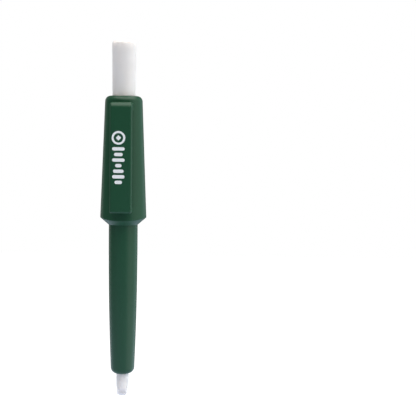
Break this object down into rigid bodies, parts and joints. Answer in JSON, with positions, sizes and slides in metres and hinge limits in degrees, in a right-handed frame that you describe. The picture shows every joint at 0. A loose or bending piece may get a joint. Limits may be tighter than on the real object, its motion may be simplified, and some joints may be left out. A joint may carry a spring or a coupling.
{
  "type": "lens cleaning pen",
  "caption": "Push-button gripping pen for lens care: oval sleeve with pocket clip, tapered barrel, and ribbed split jaws that slide out of the nose and open when the button is pressed.",
  "frame": {"origin": "on the pen's axis at the shoulder, where the sleeve's chamfer meets the barrel's straight land", "axes": "+Z along the pen towards the push button, -Z towards the jaws, -Y is the side with the pocket clip, +X to the right seen from the clip's side"},
  "size_m": [0.0176, 0.019, 0.1364],
  "materials": {
    "green_plastic": "satin moulded",
    "white_plastic": "satin moulded",
    "white_ink": "pad printed",
    "natural_plastic": "natural acetal",
    "spring_steel": "drawn wire"
  },
  "bodies": {
    "housing": {"upper_sleeve": "green_plastic", "barrel": "green_plastic", "guide_bush": "natural_plastic", "return_spring": "spring_steel"},
    "clip": {"pocket_clip": "green_plastic", "clip_mark": "white_ink"},
    "plunger": {"push_button": "white_plastic", "push_rod": "white_plastic", "jaw_carrier": "natural_plastic", "jaw_pin": "spring_steel"},
    "front_jaw": {"jaw_front": "white_plastic"},
    "rear_jaw": {"jaw_rear": "white_plastic", "jaw_spring": "spring_steel"}
  },
  "joints": [
    {"name": "plunger_press", "type": "slide", "parent": "housing", "child": "plunger", "axis": [0, 0, -1], "range_m": [0, 0.01], "stiffness_N_per_m": 350, "springref_m": -0.006, "deforming": ["return_spring"]},
    {"name": "front_jaw_open", "type": "hinge", "parent": "plunger", "child": "front_jaw", "pos_m": [0, 0, -0.0433], "axis": [-1, 0, 0], "range_deg": [0, 5]},
    {"name": "rear_jaw_open", "type": "hinge", "parent": "plunger", "child": "rear_jaw", "pos_m": [0, 0, -0.0433], "axis": [1, 0, 0], "range_deg": [0, 5]},
    {"name": "clip_flex", "type": "hinge", "parent": "housing", "child": "clip", "pos_m": [0, -0.0061, 0.0456], "axis": [-1, 0, 0], "range_deg": [0, 5], "stiffness_Nm_per_rad": 0.8, "springref_deg": -2.86}
  ],
  "couplings": [
    {"joint": "front_jaw_open", "follows": "plunger_press", "rad_per_m": 8.7},
    {"joint": "rear_jaw_open", "follows": "plunger_press", "rad_per_m": 8.7}
  ]
}
